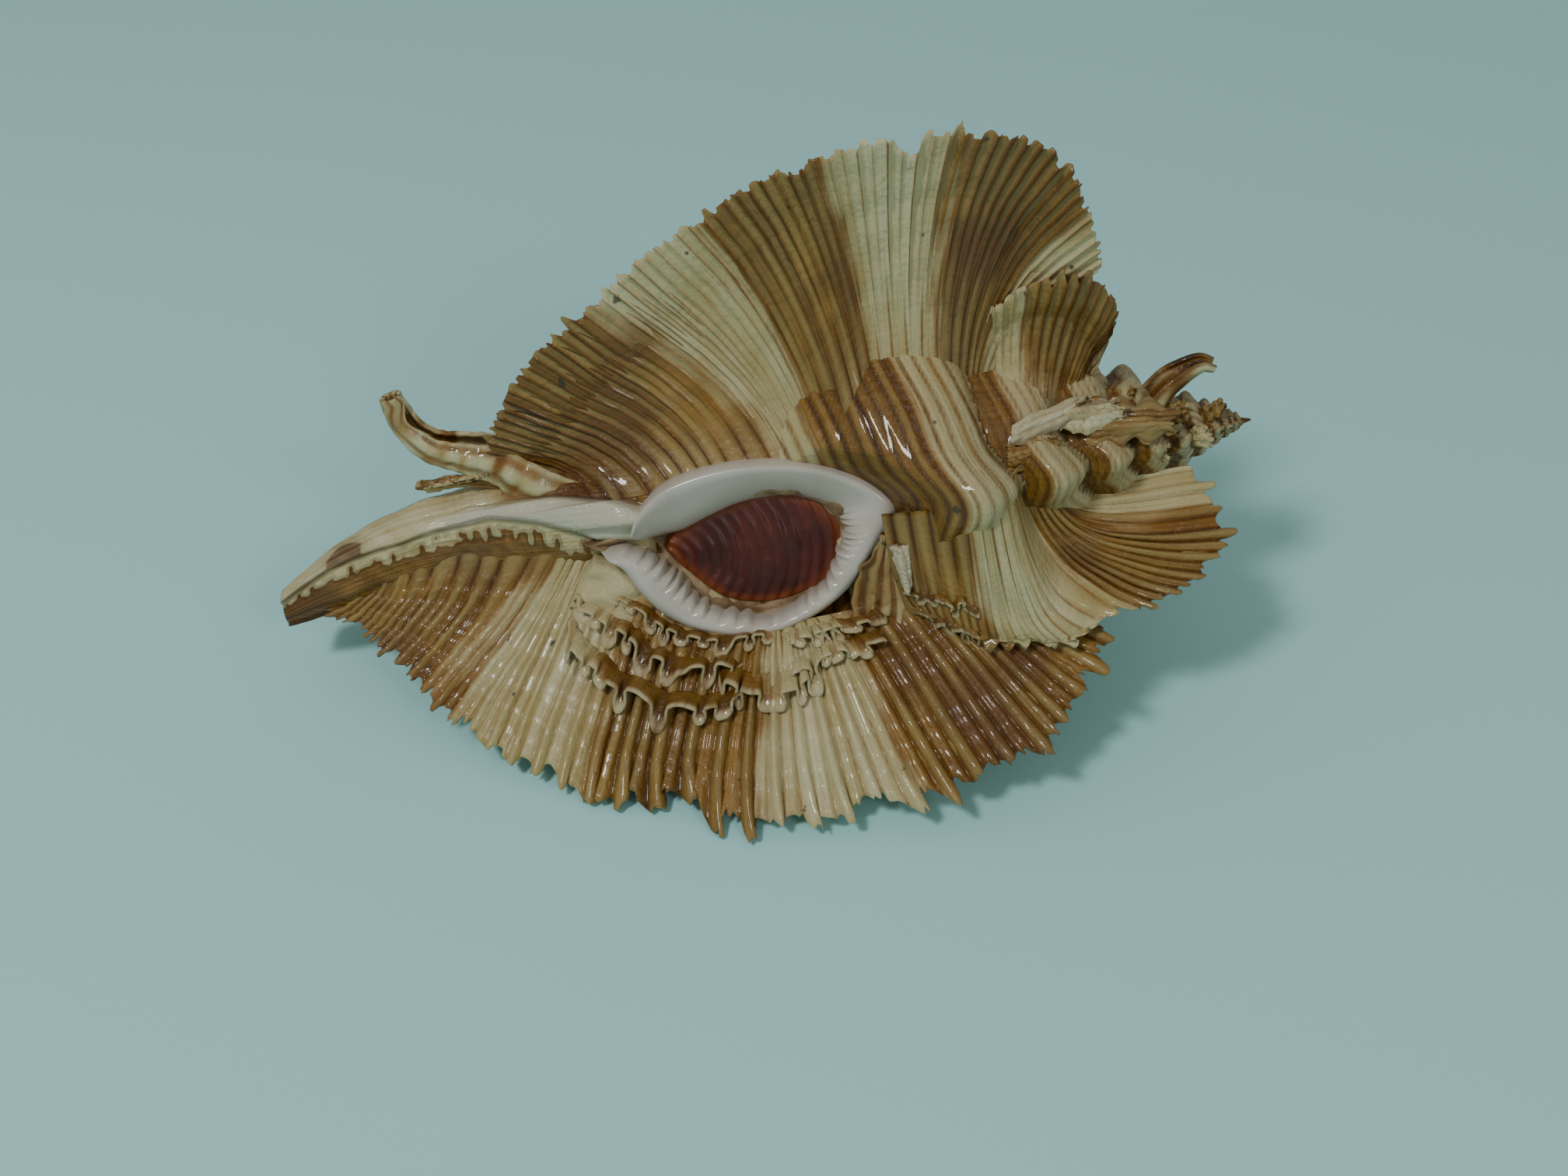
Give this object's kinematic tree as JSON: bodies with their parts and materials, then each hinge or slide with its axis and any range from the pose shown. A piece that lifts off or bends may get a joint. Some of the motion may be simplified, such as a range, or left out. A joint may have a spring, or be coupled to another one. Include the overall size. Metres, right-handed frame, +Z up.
{
  "type": "murex shell",
  "caption": "Spindle-shaped murex shell with broad fan-like fluted wings, a toothed oval mouth closed by a horny plate, and a long canal.",
  "frame": {"origin": "on the ground, under the middle of the bounding box of the resting shell", "axes": "+X from the canal's end towards the apex, +Z up, mouth towards -Y and up"},
  "size_m": [0.0732, 0.0464, 0.0439],
  "materials": {
    "shell": "satin to glossy, cream banded with brown",
    "operculum": "satin, dark red-brown, horny"
  },
  "bodies": {
    "root": {"shell": "shell", "operculum": "operculum"}
  },
  "joints": []
}
